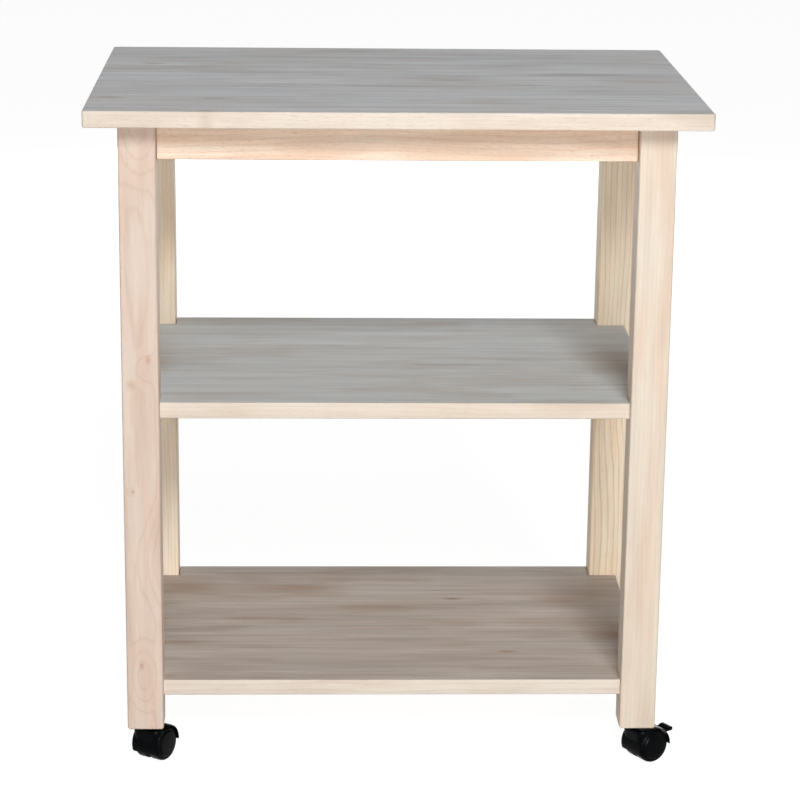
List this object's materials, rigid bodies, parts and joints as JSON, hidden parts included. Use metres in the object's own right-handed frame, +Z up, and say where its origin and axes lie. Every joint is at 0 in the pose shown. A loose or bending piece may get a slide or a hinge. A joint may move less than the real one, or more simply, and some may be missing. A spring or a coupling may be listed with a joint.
{
  "type": "microwave cart",
  "caption": "Rolling kitchen cart of bare light wood: an overhanging square-edged top, notched lower shelves between square legs, and twin-wheel swivel casters, the front ones with brake levers.",
  "frame": {"origin": "on the floor, under the middle of the top", "axes": "+Z up; +X to the right along the long side of the top; -Y is the front"},
  "size_m": [0.66, 0.466, 0.7517],
  "materials": {
    "top_wood": "bare sanded rubberwood, edge-glued staves, matt",
    "shelf_wood": "bare sanded rubberwood, edge-glued staves, matt",
    "leg_wood": "bare sanded rubberwood, straight grain, matt",
    "apron_wood": "bare sanded rubberwood with short pore marks, matt",
    "dowel_wood": "plain hardwood dowel",
    "black_nylon": "moulded black nylon, satin",
    "zinc_steel": "bright zinc-plated steel"
  },
  "bodies": {
    "cart": {"top_panel": "top_wood", "leg_front_left": "leg_wood", "leg_front_right": "leg_wood", "leg_rear_left": "leg_wood", "leg_rear_right": "leg_wood", "apron_front": "apron_wood", "apron_rear": "apron_wood", "apron_left": "apron_wood", "apron_right": "apron_wood", "middle_shelf": "shelf_wood", "bottom_shelf": "shelf_wood", "top_screw_front": "zinc_steel", "top_screw_rear": "zinc_steel", "bottom_shelf_dowel_front_left": "dowel_wood", "bottom_shelf_dowel_front_right": "dowel_wood", "bottom_shelf_dowel_rear_left": "dowel_wood", "bottom_shelf_dowel_rear_right": "dowel_wood", "middle_shelf_dowel_front_left": "dowel_wood", "middle_shelf_dowel_front_right": "dowel_wood", "middle_shelf_dowel_rear_left": "dowel_wood", "middle_shelf_dowel_rear_right": "dowel_wood", "corner_brace_front_left": "zinc_steel", "corner_brace_front_right": "zinc_steel", "corner_brace_rear_left": "zinc_steel", "corner_brace_rear_right": "zinc_steel", "hanger_bolt_front_left": "zinc_steel", "hanger_bolt_front_right": "zinc_steel", "hanger_bolt_rear_left": "zinc_steel", "hanger_bolt_rear_right": "zinc_steel", "wing_nut_front_left": "zinc_steel", "wing_nut_front_right": "zinc_steel", "wing_nut_rear_left": "zinc_steel", "wing_nut_rear_right": "zinc_steel", "stem_socket_front_left": "black_nylon", "stem_socket_front_right": "black_nylon", "stem_socket_rear_left": "black_nylon", "stem_socket_rear_right": "black_nylon", "caster_stem_front_left": "zinc_steel", "caster_stem_front_right": "zinc_steel", "caster_stem_rear_left": "zinc_steel", "caster_stem_rear_right": "zinc_steel"},
    "caster_front_left": {"caster_hood_front_left": "black_nylon", "axle_front_left": "zinc_steel"},
    "wheel_left_front_left": {"wheel_left_front_left": "black_nylon"},
    "wheel_right_front_left": {"wheel_right_front_left": "black_nylon"},
    "caster_front_right": {"caster_hood_front_right": "black_nylon", "axle_front_right": "zinc_steel"},
    "wheel_left_front_right": {"wheel_left_front_right": "black_nylon"},
    "wheel_right_front_right": {"wheel_right_front_right": "black_nylon"},
    "caster_rear_left": {"caster_hood_rear_left": "black_nylon", "axle_rear_left": "zinc_steel"},
    "wheel_left_rear_left": {"wheel_left_rear_left": "black_nylon"},
    "wheel_right_rear_left": {"wheel_right_rear_left": "black_nylon"},
    "caster_rear_right": {"caster_hood_rear_right": "black_nylon", "axle_rear_right": "zinc_steel"},
    "wheel_left_rear_right": {"wheel_left_rear_right": "black_nylon"},
    "wheel_right_rear_right": {"wheel_right_rear_right": "black_nylon"},
    "brake_front_left": {"brake_lever_front_left": "black_nylon"},
    "brake_front_right": {"brake_lever_front_right": "black_nylon"}
  },
  "joints": [
    {"name": "front_left_swivel", "type": "hinge", "parent": "cart", "child": "caster_front_left", "pos_m": [-0.276, -0.179, 0.045], "axis": [0, 0, 1], "continuous": true},
    {"name": "front_left_left_wheel_spin", "type": "hinge", "parent": "caster_front_left", "child": "wheel_left_front_left", "pos_m": [-0.26724, -0.16443, 0.01975], "axis": [-0.8572, 0.515, 0], "continuous": true},
    {"name": "front_left_right_wheel_spin", "type": "hinge", "parent": "caster_front_left", "child": "wheel_right_front_left", "pos_m": [-0.26724, -0.16443, 0.01975], "axis": [-0.8572, 0.515, 0], "continuous": true},
    {"name": "front_right_swivel", "type": "hinge", "parent": "cart", "child": "caster_front_right", "pos_m": [0.276, -0.179, 0.045], "axis": [0, 0, 1], "continuous": true},
    {"name": "front_right_left_wheel_spin", "type": "hinge", "parent": "caster_front_right", "child": "wheel_left_front_right", "pos_m": [0.29026, -0.16974, 0.01975], "axis": [-0.5446, 0.8387, 0], "continuous": true},
    {"name": "front_right_right_wheel_spin", "type": "hinge", "parent": "caster_front_right", "child": "wheel_right_front_right", "pos_m": [0.29026, -0.16974, 0.01975], "axis": [-0.5446, 0.8387, 0], "continuous": true},
    {"name": "rear_left_swivel", "type": "hinge", "parent": "cart", "child": "caster_rear_left", "pos_m": [-0.276, 0.179, 0.045], "axis": [0, 0, 1], "continuous": true},
    {"name": "rear_left_left_wheel_spin", "type": "hinge", "parent": "caster_rear_left", "child": "wheel_left_rear_left", "pos_m": [-0.2626, 0.18947, 0.01975], "axis": [-0.6157, 0.788, 0], "continuous": true},
    {"name": "rear_left_right_wheel_spin", "type": "hinge", "parent": "caster_rear_left", "child": "wheel_right_rear_left", "pos_m": [-0.2626, 0.18947, 0.01975], "axis": [-0.6157, 0.788, 0], "continuous": true},
    {"name": "rear_right_swivel", "type": "hinge", "parent": "cart", "child": "caster_rear_right", "pos_m": [0.276, 0.179, 0.045], "axis": [0, 0, 1], "continuous": true},
    {"name": "rear_right_left_wheel_spin", "type": "hinge", "parent": "caster_rear_right", "child": "wheel_left_rear_right", "pos_m": [0.29026, 0.18826, 0.01975], "axis": [-0.5446, 0.8387, 0], "continuous": true},
    {"name": "rear_right_right_wheel_spin", "type": "hinge", "parent": "caster_rear_right", "child": "wheel_right_rear_right", "pos_m": [0.29026, 0.18826, 0.01975], "axis": [-0.5446, 0.8387, 0], "continuous": true},
    {"name": "front_left_brake", "type": "hinge", "parent": "caster_front_left", "child": "brake_front_left", "pos_m": [-0.26415, -0.15929, 0.02835], "axis": [0.8572, -0.515, 0], "range_deg": [0, 20]},
    {"name": "front_right_brake", "type": "hinge", "parent": "caster_front_right", "child": "brake_front_right", "pos_m": [0.29529, -0.16647, 0.02835], "axis": [0.5446, -0.8387, 0], "range_deg": [-20, 0]}
  ]
}
